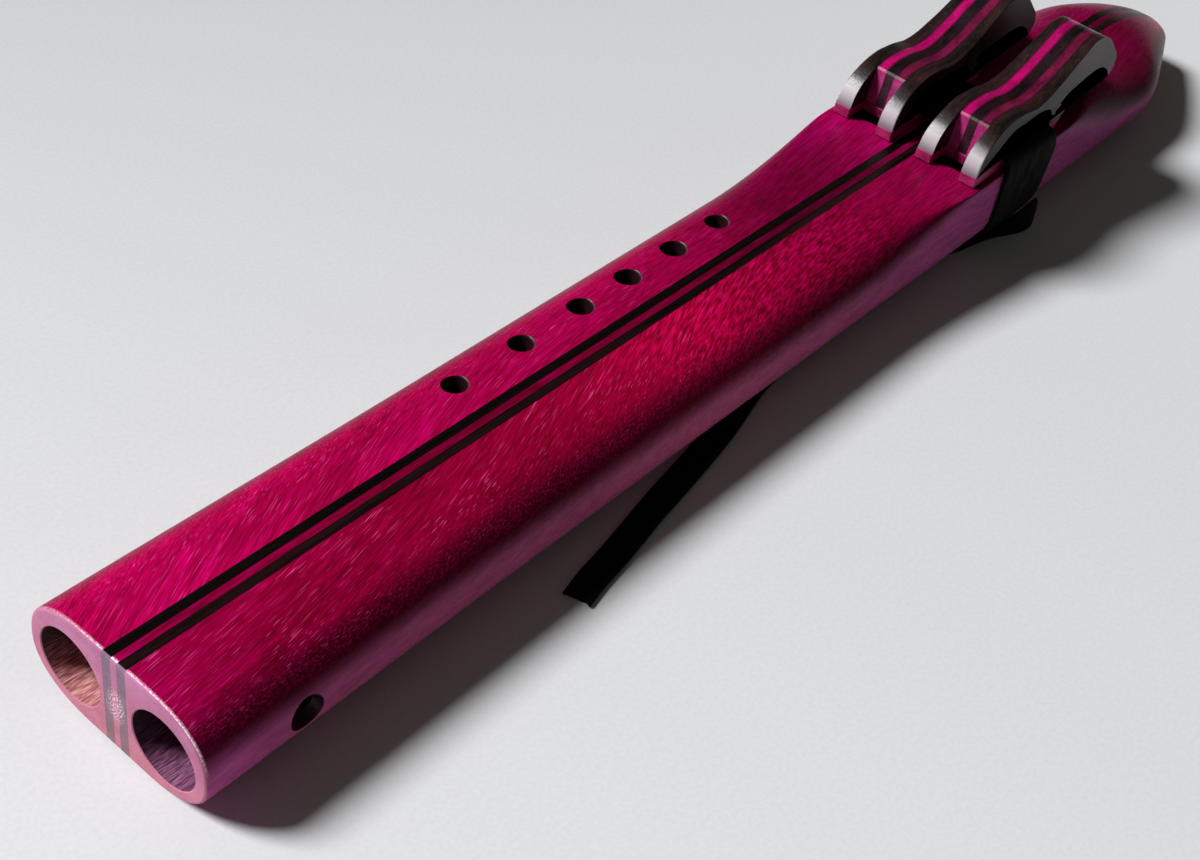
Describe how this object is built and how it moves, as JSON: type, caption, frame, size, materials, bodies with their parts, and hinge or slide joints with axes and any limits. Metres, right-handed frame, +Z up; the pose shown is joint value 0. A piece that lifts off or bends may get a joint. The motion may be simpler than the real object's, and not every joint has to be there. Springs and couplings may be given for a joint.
{
  "type": "double flute",
  "caption": "Double drone flute of laminated wood with finger holes on one chamber and a carved sliding block strapped over each sound hole",
  "frame": {"origin": "middle of the footprint on the table, measured without the loose tail of the strap", "axes": "+X along the flute from the open foot to the mouth end, +Y towards the chamber with the finger holes, +Z up from the underside towards the blocks"},
  "size_m": [0.512, 0.0775, 0.062],
  "materials": {
    "purpleheart": "gloss",
    "wenge": "satin",
    "cedar": "matte",
    "leather": "matte"
  },
  "bodies": {
    "flute": {"melody_body": "purpleheart", "drone_body": "purpleheart", "centre_strip": "purpleheart", "melody_accent_strip": "wenge", "drone_accent_strip": "wenge", "melody_plug": "cedar", "drone_plug": "cedar", "strap_band": "leather", "strap_tail": "leather"},
    "melody_block": {"melody_block_base": "purpleheart", "melody_block_outer_cheek": "wenge", "melody_block_inner_cheek": "wenge", "melody_block_outer_stripe": "purpleheart", "melody_block_inner_stripe": "purpleheart", "melody_block_centre_stripe": "wenge"},
    "drone_block": {"drone_block_base": "purpleheart", "drone_block_outer_cheek": "wenge", "drone_block_inner_cheek": "wenge", "drone_block_outer_stripe": "purpleheart", "drone_block_inner_stripe": "purpleheart", "drone_block_centre_stripe": "wenge"}
  },
  "joints": [
    {"name": "melody_block_slide", "type": "slide", "parent": "flute", "child": "melody_block", "axis": [1, 0, 0], "range_m": [-0.002, 0.002]},
    {"name": "drone_block_slide", "type": "slide", "parent": "flute", "child": "drone_block", "axis": [1, 0, 0], "range_m": [-0.002, 0.002]}
  ]
}
